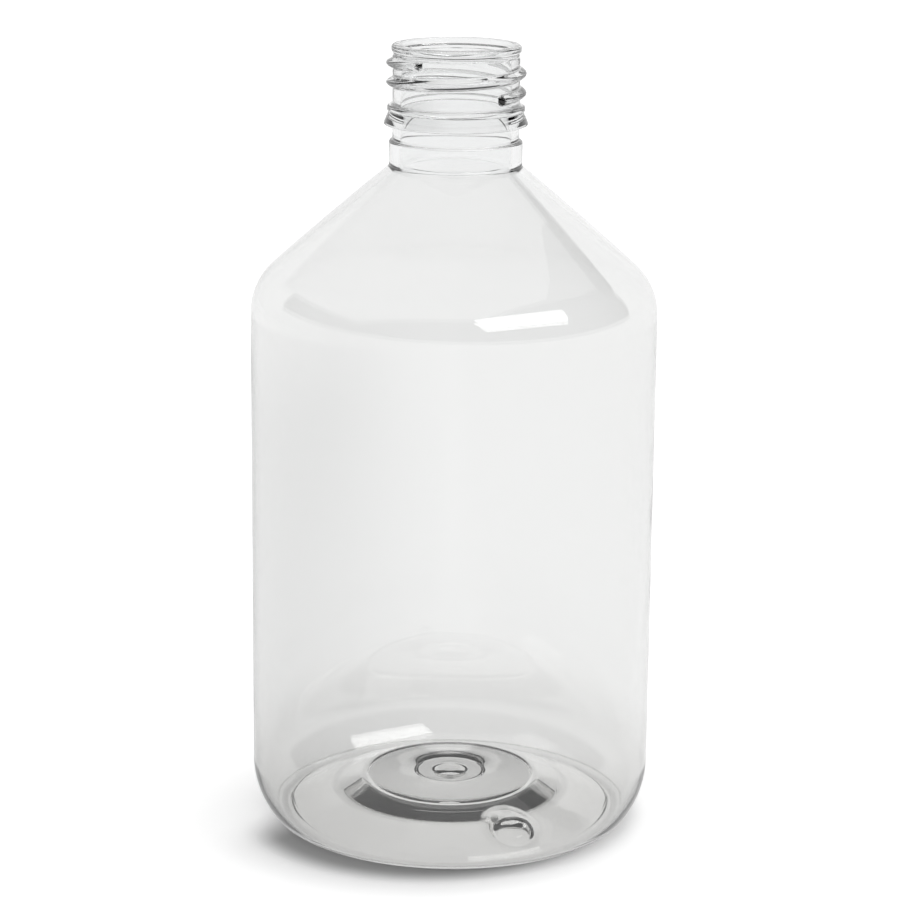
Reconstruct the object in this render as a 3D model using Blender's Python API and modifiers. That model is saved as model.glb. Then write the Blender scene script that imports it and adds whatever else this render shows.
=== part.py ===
"""A clear blown PET bottle with a threaded tamper-evident neck, nominal 500 ml.

Metres, +Z up. The origin is the centre of the circle that the bottle stands on.
"""

import math

import bmesh
import bpy
from mathutils import Vector

# Overall
BODY_DIAMETER = 0.0800
HEIGHT = 0.1560

# Neck. What stands out of the plain wall is given by how far it stands out, and drops are measured down
# from the mouth.
NECK_DIAMETER = 0.0247
NECK_WALL = 0.0015
MOUTH_ROUND = 0.0003
LIP_PROUD = 0.00025
LIP_HEIGHT = 0.0016
LIP_ROUND = 0.0006
LIP_UNDERCUT = 60.0
GROOVE_DEPTH = 0.00015
GROOVE_HEIGHT = 0.0005

THREAD_PROUD = 0.00125
THREAD_PITCH = 0.00375
THREAD_BEAD = 0.0020
THREAD_START_DROP = 0.0029
THREAD_TURNS = 1.79
THREAD_START_ANGLE = -125.0
THREAD_RUN_OUT = 25.0
THREAD_END_SHARE = 0.6

RING_DROP = 0.0117
RING_PROUD = 0.00105
RING_ROUND = 0.0003
RING_BAND = 0.0011
SKIRT_PROUD = 0.0018
SKIRT_HEIGHT = 0.0027
SKIRT_EDGE = 0.0002
UNDERCUT_RISE = 0.0005

COLLAR_DROP = 0.0185
COLLAR_PROUD = 0.00065
COLLAR_ROUND = 0.0005
COLLAR_HEIGHT = 0.00345
COLLAR_FILLET = 0.0035
BORE_FLARE = 0.0040

# Shoulder and body
SHOULDER_SLOPE = 41.1
SHOULDER_CORNER = 0.0120

# Heel and base
HEEL_HEIGHT = 0.0113
HEEL_RADIUS = 0.0160
HEEL_FOOT_RADIUS = 0.0030
FOOT_WIDTH = 0.0008
FOOT_INNER_RADIUS = 0.0012
DOME_WALL_ANGLE = 72.0
CREASE_DIAMETER = 0.0312
CREASE_HEIGHT = 0.0066
DOME_SAG = 0.0008
GROOVE_RING_DIAMETER = 0.0140
GROOVE_RING_HEIGHT = 0.0081
GROOVE_RING_DEPTH = 0.0005
GROOVE_RING_WIDTH = 0.0009
GATE_DIAMETER = 0.0062
GATE_DROP = 0.0012
DOME_TOP = 0.0088
FLOOR_SAG = 0.0004

# Wall thickness, from the moulded neck to the blown body and back to the gate
WALL_SHOULDER_TOP = 0.0015
WALL_SHOULDER_EDGE = 0.0006
WALL_BODY = 0.00045
WALL_FOOT = 0.0008
WALL_CREASE = 0.0014
WALL_GATE = 0.0020

# Turning notch pushed up into the base
NOTCH_RADIUS = 0.0050
NOTCH_PLACE_RADIUS = 0.0262
NOTCH_ANGLE = -62.3
NOTCH_ROOF = 0.0046
NOTCH_ROUND = 0.0016
NOTCH_DRAFT = 0.0007
NOTCH_WALL = 0.0009

OVERRUN = 0.0040

# Facets: steps of arc in degrees for the large curves and for the small rounds, and counts round a turn
CURVE_STEP = 10.0
ROUND_STEP = 30.0
SLOPE_STEPS = 5
AROUND = 48
NOTCH_AROUND = 20
THREAD_POINTS_PER_TURN = 20
SMOOTH_ANGLE = 30.0
MERGE = 0.00001


def on_circle(centre, radius, degrees):
    angle = math.radians(degrees)
    return (centre[0] + radius * math.cos(angle), centre[1] + radius * math.sin(angle))


def arc(centre, radius, start, end, step=ROUND_STEP):
    """Points of an arc about centre, from one angle to another, both ends included."""
    steps = max(2, math.ceil(abs(end - start) / step))
    return [on_circle(centre, radius, start + (end - start) * i / steps) for i in range(steps + 1)]


def tagged(points, wall_start, wall_end):
    """Gives each point of a stretch the wall thickness it has there."""
    last = max(1, len(points) - 1)
    return [(r, z, wall_start + (wall_end - wall_start) * i / last) for i, (r, z) in enumerate(points)]


def neck_outside():
    """The moulded neck from the mouth down to the foot of the collar, without the thread."""
    neck = NECK_DIAMETER / 2
    lip, groove = neck + LIP_PROUD, neck - GROOVE_DEPTH
    ring, skirt, collar = neck + RING_PROUD, neck + SKIRT_PROUD, neck + COLLAR_PROUD
    lip_foot = HEIGHT - LIP_HEIGHT
    groove_foot = lip_foot - GROOVE_HEIGHT
    ring_top = HEIGHT - RING_DROP
    band_foot = ring_top - RING_BAND
    skirt_foot = band_foot - SKIRT_HEIGHT
    collar_top = HEIGHT - COLLAR_DROP
    points = [(lip - LIP_ROUND, HEIGHT)]
    points += arc((lip - LIP_ROUND, HEIGHT - LIP_ROUND), LIP_ROUND, 90, 0)[1:]
    points += arc((lip - LIP_ROUND, lip_foot + LIP_ROUND), LIP_ROUND, 0, -LIP_UNDERCUT)
    points += [(groove, lip_foot), (groove, groove_foot), (neck, groove_foot - GROOVE_DEPTH)]
    points += [(neck, ring_top)]
    points += arc((ring - RING_ROUND, ring_top - RING_ROUND), RING_ROUND, 90, 0)
    points += [(ring, band_foot), (skirt, skirt_foot + SKIRT_EDGE), (skirt - SKIRT_EDGE, skirt_foot)]
    points += [(neck, skirt_foot + UNDERCUT_RISE), (neck, collar_top)]
    points += arc((collar - COLLAR_ROUND, collar_top - COLLAR_ROUND), COLLAR_ROUND, 90, 0)
    points += [(collar, collar_top - COLLAR_HEIGHT)]
    return points


def blown_outside():
    """(radius, height, wall) from the foot of the collar down to the standing ring."""
    collar, body = NECK_DIAMETER / 2 + COLLAR_PROUD, BODY_DIAMETER / 2
    slope = math.radians(SHOULDER_SLOPE)
    collar_foot = HEIGHT - COLLAR_DROP - COLLAR_HEIGHT
    fillet_centre = (collar + COLLAR_FILLET, collar_foot)
    fillet = arc(fillet_centre, COLLAR_FILLET, 180, 270 - SHOULDER_SLOPE, CURVE_STEP)[1:]
    fillet_r, fillet_z = fillet[-1]
    corner_r = body - SHOULDER_CORNER
    edge_r = corner_r + SHOULDER_CORNER * math.sin(slope)
    edge_z = fillet_z - (edge_r - fillet_r) * math.tan(slope)
    corner_z = edge_z - SHOULDER_CORNER * math.cos(slope)
    corner = arc((corner_r, corner_z), SHOULDER_CORNER, 90 - SHOULDER_SLOPE, 0, CURVE_STEP)

    heel_r = body - HEEL_RADIUS
    fall = HEEL_HEIGHT - HEEL_FOOT_RADIUS
    reach = HEEL_RADIUS - HEEL_FOOT_RADIUS
    foot_r = heel_r + math.sqrt(reach * reach - fall * fall)
    turn = math.degrees(math.asin(fall / reach))
    heel = arc((heel_r, HEEL_HEIGHT), HEEL_RADIUS, 0, -turn, CURVE_STEP)
    foot = arc((foot_r, HEEL_FOOT_RADIUS), HEEL_FOOT_RADIUS, -turn, -90)[1:]

    points = tagged(fillet, WALL_SHOULDER_TOP, WALL_SHOULDER_TOP)
    points += tagged(corner, WALL_SHOULDER_EDGE, WALL_BODY)
    points += tagged(heel, WALL_BODY, WALL_FOOT)
    points += tagged(foot, WALL_FOOT, WALL_FOOT)
    return points


def push_up(foot_r):
    """(radius, height, wall) of the pushed-up base, from the standing ring in to the crease."""
    inner_r = foot_r - FOOT_WIDTH
    turn = arc((inner_r, FOOT_INNER_RADIUS), FOOT_INNER_RADIUS, -90, -90 - DOME_WALL_ANGLE)
    start_r, start_z = turn[-1]
    span = start_r - CREASE_DIAMETER / 2
    rise = CREASE_HEIGHT - start_z
    slope = []
    for i in range(1, SLOPE_STEPS + 1):
        share = i / SLOPE_STEPS
        bow = 4 * share * (1 - share) * DOME_SAG
        slope.append((start_r - span * share, start_z + rise * share + bow))
    return tagged(turn, WALL_FOOT, WALL_FOOT) + tagged(slope, WALL_FOOT, WALL_CREASE)


def gate_outside():
    """The middle of the base: the ring groove, then the flat-ended gate mark hanging in its dimple."""
    ring_r, half = GROOVE_RING_DIAMETER / 2, GROOVE_RING_WIDTH / 2
    gate_r = GATE_DIAMETER / 2
    groove = [
        (ring_r + half, GROOVE_RING_HEIGHT),
        (ring_r, GROOVE_RING_HEIGHT + GROOVE_RING_DEPTH),
        (ring_r - half, GROOVE_RING_HEIGHT),
    ]
    return groove + [(gate_r, DOME_TOP), (gate_r, DOME_TOP - GATE_DROP), (0, DOME_TOP - GATE_DROP)]


def wall_outside():
    """(radius, height, wall) of all that is blown, from the foot of the collar to the crease."""
    blown = blown_outside()
    return blown + push_up(blown[-1][0])


def outside_profile(wall):
    """The bottle's whole outer side, from the middle of the mouth to the middle of the base."""
    return [(0, HEIGHT)] + neck_outside() + [(r, z) for r, z, thickness in wall] + gate_outside()


def inset(points):
    """Moves each point of an outer side inwards by its own wall thickness."""
    moved = []
    for i, (r, z, thickness) in enumerate(points):
        before = points[max(i - 1, 0)]
        after = points[min(i + 1, len(points) - 1)]
        along = Vector((after[0] - before[0], after[1] - before[1])).normalized()
        moved.append((r + along.y * thickness, z - along.x * thickness))
    return moved


def inside_profile(wall):
    """The cavity's side, from above the mouth to the middle of the floor, thickest over the gate."""
    bore = NECK_DIAMETER / 2 - NECK_WALL
    fillet_foot = HEIGHT - COLLAR_DROP - COLLAR_HEIGHT - COLLAR_FILLET
    cone_start = sum(1 for point in wall if point[1] > fillet_foot)
    inner = inset(wall)
    cone_r, cone_z = inner[cone_start - 1]
    edge_r, edge_z = inner[cone_start]
    slant = math.atan2(cone_z - edge_z, edge_r - cone_r)
    turn = math.pi / 2 - slant
    flare_r = bore + BORE_FLARE * (1 - math.cos(turn))
    flare_z = cone_z - (flare_r - cone_r) * math.tan(slant)
    bore_foot = flare_z + BORE_FLARE * math.sin(turn)
    flare = arc((bore + BORE_FLARE, bore_foot), BORE_FLARE, 180, 180 + math.degrees(turn), CURVE_STEP)
    mouth = [(bore + MOUTH_ROUND, HEIGHT + OVERRUN), (bore + MOUTH_ROUND, HEIGHT), (bore, HEIGHT - MOUTH_ROUND)]
    top = DOME_TOP + WALL_GATE
    floor = [(GROOVE_RING_DIAMETER / 2, top - FLOOR_SAG), (GATE_DIAMETER / 2, top), (0, top)]
    return [(0, HEIGHT + OVERRUN)] + mouth + flare + inner[cone_start:] + floor


def new_object(name, mesh, collection):
    made = bpy.data.objects.new(name, mesh)
    collection.objects.link(made)
    return made


def as_cutter(made):
    made.hide_render = True
    made.display_type = "WIRE"
    return made


def turned(name, points, around, collection):
    """A solid of revolution about Z: the profile as an edge chain with a Screw modifier."""
    mesh = bpy.data.meshes.new(name)
    chain = bmesh.new()
    verts = [chain.verts.new((r, 0, z)) for r, z in points]
    for first, second in zip(verts, verts[1:]):
        chain.edges.new((first, second))
    chain.to_mesh(mesh)
    chain.free()
    made = new_object(name, mesh, collection)
    screw = made.modifiers.new("turn", "SCREW")
    screw.steps = around
    screw.render_steps = around
    screw.use_merge_vertices = True
    screw.merge_threshold = MERGE
    return made


def thread_path():
    """(x, y, z, share of full size) along the thread, from its top end down the right-hand helix."""
    centre_r = NECK_DIAMETER / 2 + THREAD_PROUD - THREAD_BEAD / 2
    count = round(THREAD_TURNS * THREAD_POINTS_PER_TURN)
    points = []
    for i in range(count + 1):
        turned_by = 360 * THREAD_TURNS * i / count
        from_end = min(turned_by, 360 * THREAD_TURNS - turned_by)
        share = min(1.0, from_end / THREAD_RUN_OUT)
        sink = THREAD_PROUD * (1 - math.sin(share * math.pi / 2)) / 2
        angle = THREAD_START_ANGLE - turned_by
        x, y = on_circle((0, 0), centre_r - sink, angle)
        z = HEIGHT - THREAD_START_DROP - THREAD_PITCH * turned_by / 360
        points.append((x, y, z, share))
    return points


def thread_bead(collection):
    """The rounded thread as a tube half sunk in the neck wall, closed at both ends."""
    curve = bpy.data.curves.new("thread", "CURVE")
    curve.dimensions = "3D"
    curve.bevel_depth = THREAD_BEAD / 2
    curve.bevel_resolution = 2
    curve.use_fill_caps = True
    path = thread_path()
    spline = curve.splines.new("POLY")
    spline.points.add(len(path) - 1)
    for point, (x, y, z, share) in zip(spline.points, path):
        point.co = (x, y, z, 1)
        point.radius = THREAD_END_SHARE + (1 - THREAD_END_SHARE) * share
    guide = new_object("thread_curve", curve, collection)
    bpy.context.view_layer.update()
    graph = bpy.context.evaluated_depsgraph_get()
    mesh = bpy.data.meshes.new_from_object(guide.evaluated_get(graph))
    place = guide.matrix_world.copy()
    bpy.data.objects.remove(guide)
    ends = bmesh.new()
    ends.from_mesh(mesh)
    bmesh.ops.remove_doubles(ends, verts=ends.verts, dist=MERGE)
    bmesh.ops.recalc_face_normals(ends, faces=ends.faces)
    ends.to_mesh(mesh)
    ends.free()
    made = new_object("thread", mesh, collection)
    made.matrix_world = place
    return as_cutter(made)


def notch(name, roof, radius, collection):
    """A drafted round stub with a rounded top, standing where the base is pushed up."""
    top_r = radius - NOTCH_DRAFT
    points = [(0, roof), (top_r - NOTCH_ROUND, roof)]
    points += arc((top_r - NOTCH_ROUND, roof - NOTCH_ROUND), NOTCH_ROUND, 90, 0)[1:]
    points += [(radius, -OVERRUN), (0, -OVERRUN)]
    made = turned(name, points, NOTCH_AROUND, collection)
    x, y = on_circle((0, 0), NOTCH_PLACE_RADIUS, NOTCH_ANGLE)
    made.location = (x, y, 0)
    return as_cutter(made)


def boolean(target, operation, other):
    step = target.modifiers.new(other.name, "BOOLEAN")
    step.operation = operation
    step.solver = "EXACT"
    step.object = other


def clear_pet():
    """Clear PET: a faint grey-green tint, high gloss and full transmission."""
    material = bpy.data.materials.new("clear_pet")
    material.use_nodes = True
    shader = material.node_tree.nodes["Principled BSDF"]
    shader.inputs["Base Color"].default_value = (0.95, 0.965, 0.96, 1)
    shader.inputs["Metallic"].default_value = 0
    shader.inputs["Roughness"].default_value = 0.04
    shader.inputs["IOR"].default_value = 1.575
    shader.inputs["Transmission Weight"].default_value = 0.95
    return material


def build():
    for old in list(bpy.data.objects):
        bpy.data.objects.remove(old)
    parts = bpy.data.collections.new("plastic_bottle")
    cutters = bpy.data.collections.new("cutters")
    for collection in (parts, cutters):
        bpy.context.scene.collection.children.link(collection)

    wall = wall_outside()
    bottle = turned("bottle", outside_profile(wall), AROUND, parts)
    cavity = as_cutter(turned("cavity", inside_profile(wall), AROUND, cutters))
    bump = notch("notch_bump", NOTCH_ROOF + NOTCH_WALL, NOTCH_RADIUS + NOTCH_WALL, cutters)
    pocket = notch("notch_pocket", NOTCH_ROOF, NOTCH_RADIUS, cutters)

    boolean(bottle, "UNION", thread_bead(cutters))
    boolean(bottle, "DIFFERENCE", pocket)
    boolean(cavity, "DIFFERENCE", bump)
    boolean(bottle, "DIFFERENCE", cavity)

    bottle.data.materials.append(clear_pet())
    bottle.data.shade_smooth()
    bottle.data.set_sharp_from_angle(angle=math.radians(SMOOTH_ANGLE))


build()
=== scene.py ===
import math

import bmesh
import bpy
from mathutils import Matrix, Vector


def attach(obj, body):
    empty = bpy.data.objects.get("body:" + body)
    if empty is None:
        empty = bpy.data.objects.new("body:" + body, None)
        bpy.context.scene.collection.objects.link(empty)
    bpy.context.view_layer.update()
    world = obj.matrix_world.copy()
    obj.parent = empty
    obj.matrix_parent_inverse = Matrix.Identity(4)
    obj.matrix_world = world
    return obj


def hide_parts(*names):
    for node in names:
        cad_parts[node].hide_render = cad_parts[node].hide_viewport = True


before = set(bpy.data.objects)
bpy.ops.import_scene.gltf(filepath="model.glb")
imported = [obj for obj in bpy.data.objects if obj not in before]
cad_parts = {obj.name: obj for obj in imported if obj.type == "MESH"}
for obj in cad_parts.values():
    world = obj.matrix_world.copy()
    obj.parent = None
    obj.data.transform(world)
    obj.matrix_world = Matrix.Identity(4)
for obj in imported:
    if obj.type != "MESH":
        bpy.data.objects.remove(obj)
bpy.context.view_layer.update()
print("frame loaded")

scene = bpy.context.scene
scene.view_settings.view_transform = "Standard"
millimetre = 0.001


# Shader nodes written as expressions


class Value:
    # One output of a node, so that shader maths reads as arithmetic
    def __init__(self, graph, output):
        self.graph = graph
        self.output = output

    def maths(self, operation, *terms, clamp=False):
        settings = {"operation": operation, "use_clamp": clamp}
        return self.graph.add("Math", settings, dict(enumerate(terms)))

    def __add__(self, other):
        return self.maths("ADD", self, other)

    def __radd__(self, other):
        return self.maths("ADD", other, self)

    def __sub__(self, other):
        return self.maths("SUBTRACT", self, other)

    def __rsub__(self, other):
        return self.maths("SUBTRACT", other, self)

    def __mul__(self, other):
        return self.maths("MULTIPLY", self, other)

    def __rmul__(self, other):
        return self.maths("MULTIPLY", other, self)

    def __abs__(self):
        return self.maths("ABSOLUTE", self)

    def root(self):
        return self.maths("SQRT", self)

    def greater(self, other):
        return self.maths("MAXIMUM", self, other)

    def clamped(self):
        return self.maths("MULTIPLY", self, 1, clamp=True)

    def fade(self, start, end):
        # 0 before start, 1 after end and smooth between them
        settings = {"interpolation_type": "SMOOTHSTEP"}
        return self.graph.add("MapRange", settings, {0: self, 1: start, 2: end})


class Graph:
    def __init__(self, owner):
        owner.use_nodes = True
        self.tree = owner.node_tree

    def set(self, node, inputs):
        for key, value in inputs.items():
            if isinstance(value, Value):
                self.tree.links.new(value.output, node.inputs[key])
            else:
                node.inputs[key].default_value = value

    def add(self, kind, settings=None, inputs=None, output=0):
        node = self.tree.nodes.new("ShaderNode" + kind)
        for key, value in (settings or {}).items():
            setattr(node, key, value)
        self.set(node, inputs or {})
        return Value(self, node.outputs[output])

    def other(self, value, output):
        return Value(self, value.output.node.outputs[output])

    def place(self, kind="Object"):
        split = self.add("SeparateXYZ", None, {0: self.add("TexCoord", output=kind)})
        return split, self.other(split, 1), self.other(split, 2)

    def mixed(self, share, first, second):
        inputs = {"Factor": share, 6: first, 7: second}
        return self.add("Mix", {"data_type": "RGBA"}, inputs, output=2)

    def mirrored(self):
        # 1 for what the camera sees in or through the plastic
        glossy = self.add("LightPath", output="Is Glossy Ray")
        through = self.other(glossy, "Is Transmission Ray")
        return glossy.greater(through) * (1 - self.other(glossy, "Diffuse Depth").clamped())

    def camera(self):
        return self.add("LightPath", output="Is Camera Ray")


# Clear plastic. Sizes in metres; a pair of them is where a fade starts and ends

petFinish = {
    "thinColour": (0.951, 0.953, 0.95, 1),
    "neckColour": (0.94, 0.945, 0.945, 1),
    "neckFrom": (0.126, 0.136),
    "footColour": (0.927, 0.925, 0.915, 1),
    "footUpTo": (0.004, 0.03),
    # painted shade: the outer heel, low down, is tinted darker to stand in for the shade seen through it
    "heelShadeColour": (0.832, 0.832, 0.825, 1),
    "heelShadeUpTo": (0.007, 0.022),
    "heelShadeOutFrom": (0.0325, 0.036),
    "ior": 1.575,
    "smooth": 0.0,
    "scuffed": 0.03,
    "scuffScale": 260.0,
    "scuffShare": (0.56, 0.75),  # how strong the noise is where a scuff starts and where it is full
    "blownUpTo": (0.128, 0.134),  # the waves end where the neck's moulded wall starts
    "waveSize": 0.014,
    "waveHeight": 0.00003,
    "grainSize": 0.0016,
    "grainHeight": 0.0000012,
    "partingAngle": -58.5,
    "partingFrom": (0.006, 0.012),
    "partingWidth": 0.00018,
    "partingHeight": 0.000003,
}


def makeClearPet(look):
    material = bpy.data.materials.new("clearPet")
    graph = Graph(material)
    shader = graph.tree.nodes["Principled BSDF"]
    x, y, z = graph.place()
    spot = graph.add("TexCoord", output="Object")

    def noise(scale, detail, rough=0.5):
        inputs = {"Vector": spot, "Scale": scale, "Detail": detail, "Roughness": rough}
        return graph.add("TexNoise", {"noise_dimensions": "3D"}, inputs)

    waves = noise(1 / look["waveSize"], 1.0)
    grain = noise(1 / look["grainSize"], 2.0)
    scuffs = noise(look["scuffScale"], 5.0, 0.7)
    angle = math.radians(look["partingAngle"])
    parting = 1 - abs(x * math.sin(angle) - y * math.cos(angle)).fade(0.0, look["partingWidth"])
    parting = parting * z.fade(*look["partingFrom"])
    blown = 1 - z.fade(*look["blownUpTo"])
    relief = waves * blown * look["waveHeight"] + grain * look["grainHeight"]
    relief = relief + parting * look["partingHeight"]
    bump = graph.add("Bump", None, {"Height": relief, "Distance": 1.0, "Strength": 1.0})
    colour = graph.mixed(z.fade(*look["neckFrom"]), look["thinColour"], look["neckColour"])
    colour = graph.mixed(1 - z.fade(*look["footUpTo"]), colour, look["footColour"])
    # Painted shade: darker colour on the outer heel near the floor, standing in for the shade seen through it
    heel = (x * x + y * y).root().fade(*look["heelShadeOutFrom"]) * (1 - z.fade(*look["heelShadeUpTo"]))
    colour = graph.mixed(heel, colour, look["heelShadeColour"])
    rough = scuffs.fade(*look["scuffShare"]) * (look["scuffed"] - look["smooth"]) + look["smooth"]
    graph.set(
        shader,
        {
            "Base Color": colour,
            "Roughness": rough,
            "IOR": look["ior"],
            "Transmission Weight": 1.0,
            "Normal": bump,
        },
    )
    return material


# Bottle. Sizes in millimetres. A corner is its distance from the axis, its height or its drop below the
# mouth, and the radius of its round

bottle = {
    "height": 156.0,
    "bodyRadius": 40.0,
    "neckRadius": 12.35,
    "boreRadius": 10.85,
    "around": 160,
    "lip": [(12.6, 0.0, 0.6), (12.6, 1.6, 0.55), (12.2, 1.6, 0.1), (12.2, 2.15, 0.1), (12.35, 2.3, 0.1)],
    "lockingRing": [
        (12.35, 11.7, 0.25),
        (13.4, 11.7, 0.45),
        (13.4, 12.7, 0.15),
        (13.12, 12.9, 0.1),
        (14.15, 15.5, 0.25),
        (12.35, 15.42, 0.3),
    ],
    "collar": [(12.35, 18.5, 0.15), (13.0, 18.5, 0.5)],
    "collarFoot": 132.46,
    "collarFillet": 0.5,
    "shoulderSlope": 41.1,
    "shoulderSag": 0.25,
    "shoulderSteps": (12, 2, 9),  # steps from the collar to the edge, and the first and last point kept
    "shoulderCorner": 12.0,
    "heel": [(40.0, 5.52, 16.0), (35.41, 0.0, 3.0)],
    "standingRing": [(32.33, 0.0, 1.2), (31.95, 1.17, 0.7)],
    "dome": [(31.6, 1.3, 0), (23.2, 4.5, 12.0), (16.6, 5.45, 0.5), (16.2, 5.6, 0.5)],
    "domeSteps": (12, 1, 8),
    "gate": [(7.1, 6.0, 0.15), (6.75, 6.5, 0.12), (6.4, 6.05, 0.15), (3.4, 6.4, 0.3), (3.2, 5.6, 0.3)],
    "gateFoot": 5.6,
    "inside": [(0, 8.7, 0), (3.0, 8.7, 3.0), (7.0, 8.5, 5.0), (17.2, 7.7, 5.0), (28.8, 3.2, 3.0)],
    "insideStep": 1.1,
    "insideFoot": [(32.3, 1.75, 0.4), (32.95, 0.8, 0.35), (35.1, 0.8, 2.2)],
    "shoulderWall": (1.5, 0.6),
    "bodyWall": 0.45,
    "insideHeel": (5.68, 15.5),
    "insideCorner": 11.5,
    "boreFlare": 2.5,
    "mouthRound": 0.3,
    "arcSteps": [(6.0, 3), (0.4, 9), (0.0, 22)],  # degrees between points, on rounds larger than each radius
    "mergeWithin": 0.002,
    "sharpAngle": 50,
}

thread = {
    "pitch": 3.75,
    "firstAngle": -126.6,
    "lastAngle": -764.5,
    "searched": 4,  # whole turns back from an angle in which the thread is looked for
    "zeroDrop": 1.75,
    "proud": 1.25,
    "halfWidth": 1.08,
    "reach": 1.25,  # half widths from the middle of the thread, past which the neck stays as it is
    "blend": 0.07,
    "top": 2.5,
    "foot": 11.5,
    "rows": 84,
}

notch = {
    "place": (26.2, -62.3),  # distance from the axis and angle
    "roof": 4.8,
    "radius": 4.6,
    "round": 4.2,
    "roundEnd": 0.15,  # the round stops this far inside the radius
    "side": 0.6,
    "reach": 7.2,
    "below": 9.0,
    "within": 31.5,
    "fineness": 3,
    "swell": (2.6, 6.6),  # how far the inner face rises over it, and how wide
}


def roundedPath(corners, arcSteps):
    # The chain of points through the corners, with each corner's round drawn as an arc, finer on a large one
    points = []
    for i, (r, z, radius) in enumerate(corners):
        here = Vector((r, z))
        if radius == 0 or i in (0, len(corners) - 1):
            points.append(here)
            continue
        before = (Vector(corners[i - 1][:2]) - here).normalized()
        after = (Vector(corners[i + 1][:2]) - here).normalized()
        half = before.angle(after) / 2
        centre = here + (before + after).normalized() * (radius / math.sin(half))
        start = here + before * (radius / math.tan(half))
        end = here + after * (radius / math.tan(half))
        sweep = (start - centre).angle_signed(end - centre)
        step = next(degrees for above, degrees in arcSteps if radius > above)
        count = max(2, math.ceil(abs(math.degrees(sweep)) / step))
        for k in range(count + 1):
            points.append(centre + Matrix.Rotation(-sweep * k / count, 2) @ (start - centre))
    return points


def bowed(start, end, sag, steps, first, last):
    # Points between start and end, on a slightly bulging line where it has a sag
    points = []
    for k in range(first, last + 1):
        share = k / steps
        point = Vector(start[:2]).lerp(Vector(end[:2]), share)
        points.append((point.x, point.y + 4 * share * (1 - share) * sag, 0))
    return points


def outsideCorners(sizes):
    height, neck, body = sizes["height"], sizes["neckRadius"], sizes["bodyRadius"]
    slope = math.tan(math.radians(sizes["shoulderSlope"]))
    corners = [(sizes["boreRadius"] + sizes["mouthRound"], height, 0)]
    corners += [(r, height - drop, radius) for r, drop, radius in sizes["lip"]]
    for k in range(thread["rows"] + 1):
        drop = thread["top"] + (thread["foot"] - thread["top"]) * k / thread["rows"]
        corners.append((neck, height - drop, 0))
    corners += [(r, height - drop, radius) for r, drop, radius in sizes["lockingRing"] + sizes["collar"]]
    collar = corners[-1][0]
    top = (collar, sizes["collarFoot"], sizes["collarFillet"])
    edge = (body, sizes["collarFoot"] - (body - collar) * slope, sizes["shoulderCorner"])
    corners += [top] + bowed(top, edge, sizes["shoulderSag"], *sizes["shoulderSteps"]) + [edge]
    corners += sizes["heel"] + sizes["standingRing"] + sizes["dome"][:1]
    corners += bowed(*sizes["dome"][:2], 0, *sizes["domeSteps"]) + sizes["dome"][1:]
    corners += sizes["gate"]
    corners.append((0, sizes["gateFoot"], 0))
    return corners


def insideCorners(sizes):
    slope = math.radians(sizes["shoulderSlope"])
    collar, body = sizes["collar"][-1][0], sizes["bodyRadius"]
    topWall, edgeWall = sizes["shoulderWall"]
    coneTop = sizes["collarFoot"] - topWall / math.cos(slope)
    coneFoot = sizes["collarFoot"] - (body - collar) * math.tan(slope) - edgeWall / math.cos(slope)
    slant = (coneTop - coneFoot) / (body - collar)
    inner, bore = body - sizes["bodyWall"], sizes["boreRadius"]
    top = (bore, coneTop - (bore - collar) * slant, sizes["boreFlare"])
    edge = (inner, coneTop - (inner - collar) * slant, sizes["insideCorner"])
    base = sizes["inside"]
    corners = base[:1]
    for start, end in zip(base, base[1:]):
        steps = math.ceil((end[0] - start[0]) / sizes["insideStep"])
        corners += bowed(start, end, 0, steps, 1, steps - 1) + [end]
    corners += sizes["insideFoot"]
    corners.append((inner, *sizes["insideHeel"]))
    corners.append(edge)
    corners += reversed(bowed(top, edge, sizes["shoulderSag"], *sizes["shoulderSteps"]))
    corners.append(top)
    corners.append((bore, sizes["height"], sizes["mouthRound"]))
    corners.append((bore + sizes["mouthRound"], sizes["height"], 0))
    return corners


def threadLift(angle, drop, neck):
    # How far the thread stands out of the neck at this angle and this drop below the mouth
    nearest = thread["reach"]
    for turn in range(thread["searched"]):
        along = angle - 360 * turn
        held = max(thread["lastAngle"], min(thread["firstAngle"], along))
        centre = thread["zeroDrop"] - thread["pitch"] * held / 360
        past = math.radians(along - held) * neck
        nearest = min(nearest, math.hypot(drop - centre, past) / thread["halfWidth"])
    share = 1 - nearest**2
    return thread["proud"] * (share + math.hypot(share, thread["blend"])) / 2


def raiseThread(mesh, sizes):
    height, neck = sizes["height"], sizes["neckRadius"]
    slack = 0.01
    low, high = height - thread["foot"] - slack, height - thread["top"] + slack

    def onNeck(vert):
        away, up = vert.co.xy.length / millimetre, vert.co.z / millimetre
        return abs(away - neck) < slack and low < up < high

    def isLevel(edge):
        return abs(edge.verts[0].co.z - edge.verts[1].co.z) / millimetre < 0.001

    level = [e for e in mesh.edges if onNeck(e.verts[0]) and onNeck(e.verts[1]) and isLevel(e)]
    bmesh.ops.subdivide_edges(mesh, edges=level, cuts=1)
    for vert in mesh.verts:
        if onNeck(vert):
            flat = vert.co.xy.normalized()
            angle = math.degrees(math.atan2(flat.y, flat.x))
            lift = threadLift(angle, height - vert.co.z / millimetre, neck)
            vert.co.xy = flat * (neck + lift) * millimetre


def notchHeight(distance):
    # A roof that turns down in a round, then a short upright side and a slope to nothing
    middle = notch["radius"] - notch["round"]
    foot = notch["roof"] - notch["round"]
    if distance < middle:
        return notch["roof"]
    if distance < notch["radius"] - notch["roundEnd"]:
        return foot + math.sqrt(notch["round"] ** 2 - (distance - middle) ** 2)
    return foot * (1 - max(0, distance - notch["radius"]) / notch["side"])


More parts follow.
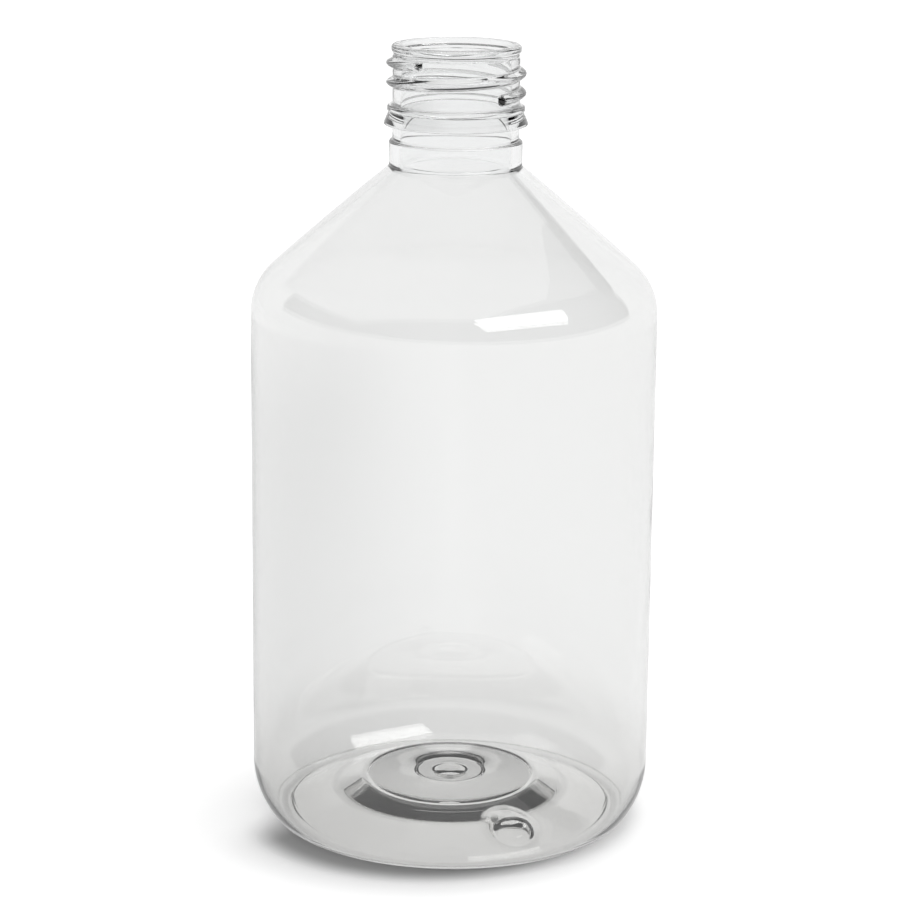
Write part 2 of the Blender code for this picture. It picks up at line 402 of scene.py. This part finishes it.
def raiseNotch(mesh):
    r, angle = notch["place"][0], math.radians(notch["place"][1])
    centre = Vector((r * math.cos(angle), r * math.sin(angle)))
    rise, width = notch["swell"]

    def near(spot):
        close = (spot.xy - centre).length < notch["reach"]
        return close and spot.z < notch["below"] and spot.xy.length < notch["within"]

    faces = [f for f in mesh.faces if near(f.calc_center_median() / millimetre)]
    edges = list(dict.fromkeys(e for f in faces for e in f.edges))
    bmesh.ops.subdivide_edges(mesh, edges=edges, cuts=notch["fineness"], use_grid_fill=True)
    mesh.normal_update()
    for vert in mesh.verts:
        spot = vert.co / millimetre
        distance = (spot.xy - centre).length
        if near(spot) and vert.normal.z < 0:
            vert.co.z = max(spot.z, notchHeight(distance)) * millimetre
        elif near(spot):
            vert.co.z += rise * max(0, 1 - (distance / width) ** 2) ** 2 * millimetre


def makeBottle(sizes, material):
    points = roundedPath(outsideCorners(sizes), sizes["arcSteps"])
    points += roundedPath(insideCorners(sizes), sizes["arcSteps"])[:-1]
    mesh = bmesh.new()
    verts = [mesh.verts.new((p[0] * millimetre, 0, p[1] * millimetre)) for p in points]
    edges = [mesh.edges.new(pair) for pair in zip(verts, verts[1:])]
    edges.append(mesh.edges.new((verts[-1], verts[0])))
    bmesh.ops.spin(
        mesh,
        geom=verts + edges,
        cent=(0, 0, 0),
        axis=(0, 0, 1),
        angle=math.tau,
        steps=sizes["around"],
        use_merge=True,
    )
    bmesh.ops.remove_doubles(mesh, verts=mesh.verts, dist=sizes["mergeWithin"] * millimetre)
    bmesh.ops.recalc_face_normals(mesh, faces=mesh.faces)
    mesh.normal_update()
    raiseThread(mesh, sizes)
    raiseNotch(mesh)
    data = bpy.data.meshes.new("bottleWall")
    mesh.to_mesh(data)
    mesh.free()
    data.materials.append(material)
    data.shade_smooth()
    data.set_sharp_from_angle(angle=math.radians(sizes["sharpAngle"]))
    made = bpy.data.objects.new("bottleWall", data)
    scene.collection.objects.link(made)
    return made


bottleWall = makeBottle(bottle, makeClearPet(petFinish))
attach(bottleWall, "root")
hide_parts("bottle")
print("bottle made", len(bottleWall.data.polygons), "faces")


# Floor, surround and lamp

studio = {
    "floorSize": 8.0,
    "floorColour": (0.76, 0.76, 0.76, 1),
    "seenColour": (0.95, 0.95, 0.95, 1),
    "shadowColour": (0.02, 0.02, 0.02, 1),
    "seenLift": 0.38,  # what the camera sees of the floor is lifted to white
    "mirroredLift": 0.28,  # and so is what the plastic shows of it
    "plainShare": 0.65,  # the share of the floor that shows in the plastic without its shadow
    "plainLevel": 0.97,
    "dimSide": (-0.05, 0.0),  # that share dims towards the left
    "dimReach": (0.3, 0.65),  # and only near the bottle
    "dimLevel": 0.215,
    "contactCentre": (-0.0055, -0.0045),  # the shadow of the foot falls a little to the front left
    "contactFades": [(0.52, 0.031, 0.039), (0.2, 0.034, 0.048)],  # how dark, and from where to where it fades
    "contactEdge": (0.012, 0.034),  # it ends at the back left, on a slant
    "fill": 0.76,  # the light from all round
    "darkLevel": 0.03,  # the dark room over the white surround
    "sweepTop": (0.2, -0.07, 0.0),  # the surround's height as a sine, and its rise to the right and the back
    "topEdge": (-0.006, 0.006),
    "wingEdge": (0.45, 0.57),  # two white wings stand at the back, with a gap between them
    "wingGap": (0.1, 0.22),
    "wingTop": 0.36,
    "leftFrom": (0.05, 0.2),
    "leftWing": (0.3, 0.08),  # how much higher the left one is, and how much darker the left side
}

panels = {
    "keyPanel": {
        "corners": [(-0.553, -0.29), (0.601, -0.168), (0.553, 0.29), (-0.601, 0.168)],
        "bright": 4.5,
        "place": (0.746, -0.677, 1.036),
        "aim": (0, -0.03, 0.113),
    },
    "topPanel": {
        "corners": [(1.5, 0.82), (-0.3, 0.82), (-0.5, 0.14), (-0.93, -0.87), (1.5, -1.89)],
        "bright": 0.7,
        "place": (0, 0, 1.13),
        "aim": (0, 0, 2),
    },
}


def makeSheet(name, sizes, material):
    mesh = bmesh.new()
    corners = [mesh.verts.new((x, y, 0)) for x, y in sizes["corners"]]
    bmesh.ops.contextual_create(mesh, geom=corners)
    aim = Vector(sizes["aim"]) - Vector(sizes["place"])
    turn = aim.to_track_quat("Z", "Y").to_matrix().to_4x4()
    bmesh.ops.transform(mesh, matrix=Matrix.Translation(sizes["place"]) @ turn, verts=mesh.verts)
    data = bpy.data.meshes.new(name)
    mesh.to_mesh(data)
    mesh.free()
    data.materials.append(material)
    made = bpy.data.objects.new(name, data)
    scene.collection.objects.link(made)


def makeFloorFinish(look):
    material = bpy.data.materials.new("floor")
    graph = Graph(material)
    shader = graph.tree.nodes["Principled BSDF"]
    x, y = graph.place()[:2]
    seen, mirrored = graph.camera(), graph.mirrored()
    across, along = x - look["contactCentre"][0], y - look["contactCentre"][1]
    away = (across * across + along * along).root()
    shade = 0
    for level, start, end in look["contactFades"]:
        shade = shade + (1 - away.fade(start, end)) * level
    shade = shade * (1 - (y - x).fade(*look["contactEdge"])) * seen
    lift = seen * (1 - shade) * look["seenLift"] + mirrored * look["mirroredLift"]
    tone = graph.mixed(seen, look["floorColour"], look["seenColour"])
    graph.set(
        shader,
        {
            "Base Color": graph.mixed(shade, tone, look["shadowColour"]),
            "Roughness": 1.0,
            "Specular IOR Level": 0.0,
            "Emission Strength": 1.0,
            "Emission Color": lift,
        },
    )
    near = 1 - (x * x + y * y).root().fade(*look["dimReach"])
    dim = (1 - x.fade(*look["dimSide"])) * near * look["dimLevel"]
    plain = graph.add("Emission", None, {"Strength": look["plainLevel"] - dim})
    share = mirrored * look["plainShare"]
    surface = graph.add("MixShader", None, {0: share, 1: Value(graph, shader.outputs[0]), 2: plain})
    graph.set(graph.tree.nodes["Material Output"], {"Surface": surface})
    return material


def makePanelFinish(name, panel):
    # A panel shows in the plastic and lights nothing else
    material = bpy.data.materials.new(name)
    graph = Graph(material)
    mirrored = graph.mirrored()
    glow = graph.add("Emission", None, {"Strength": mirrored * panel["bright"]})
    clear = graph.add("BsdfTransparent")
    surface = graph.add("MixShader", None, {0: mirrored, 1: clear, 2: glow})
    graph.set(graph.tree.nodes["Material Output"], {"Surface": surface})
    return material


def makeWorld(look):
    # Plain fill light, while the plastic shows a white surround with a dark room above it
    world = bpy.data.worlds.new("studio")
    scene.world = world
    graph = Graph(world)
    x, y, z = graph.place("Generated")
    middle, right, back = look["sweepTop"]
    left = (0 - x).fade(*look["leftFrom"])
    rise, dim = look["leftWing"]
    wings = y.fade(*look["wingEdge"]) * abs(x).fade(*look["wingGap"])
    top = x * right + y * back + wings * (left * rise + look["wingTop"]) + middle
    above = (z - top).fade(*look["topEdge"])
    room = (1 - left * dim) * (1 - above * (1 - look["darkLevel"]))
    camera, mirrored = graph.camera(), graph.mirrored()
    level = camera + mirrored * room + (1 - camera) * (1 - mirrored) * look["fill"]
    graph.set(graph.tree.nodes["Background"], {"Color": (1, 1, 1, 1), "Strength": level})


sun = {"strength": 0.5, "spread": 24, "from": (0.22, 0.1, 1.0)}


def makeSun(look):
    # It lights the floor and the bottle, and its own disc doesn't show in the plastic
    data = bpy.data.lights.new("sun", "SUN")
    data.energy = look["strength"]
    data.angle = math.radians(look["spread"])
    made = bpy.data.objects.new("sun", data)
    scene.collection.objects.link(made)
    made.rotation_euler = Vector(look["from"]).to_track_quat("Z", "Y").to_euler()
    made.visible_glossy = False
    made.visible_transmission = False


half = studio["floorSize"] / 2
floor = {
    "corners": [(-half, -half), (half, -half), (half, half), (-half, half)],
    "place": (0, 0, 0),
    "aim": (0, 0, 1),
}
makeSheet("floor", floor, makeFloorFinish(studio))
for name, panel in panels.items():
    makeSheet(name, panel, makePanelFinish(name, panel))
makeWorld(studio)
makeSun(sun)
print("studio made")


# Camera. Angles in degrees, lens and sensor in millimetres, the rest in metres

lens = {
    "place": (0.0, -0.590, 0.22648),
    "pitch": 14.498,
    "roll": 0.559,
    "yaw": 0.0722,
    "focalLength": 120.57,
    "sensorWidth": 36,
    "nearest": 0.01,
}


def makeCamera(look):
    data = bpy.data.cameras.new("camera")
    data.sensor_width = look["sensorWidth"]
    data.lens = look["focalLength"]
    data.clip_start = look["nearest"]
    made = bpy.data.objects.new("camera", data)
    scene.collection.objects.link(made)
    turn = Matrix.Rotation(math.radians(-look["yaw"]), 4, "Z")
    turn = turn @ Matrix.Rotation(math.radians(90 - look["pitch"]), 4, "X")
    turn = turn @ Matrix.Rotation(math.radians(look["roll"]), 4, "Z")
    made.matrix_world = Matrix.Translation(look["place"]) @ turn
    return made


bpy.context.scene.camera = makeCamera(lens)
print("camera set")
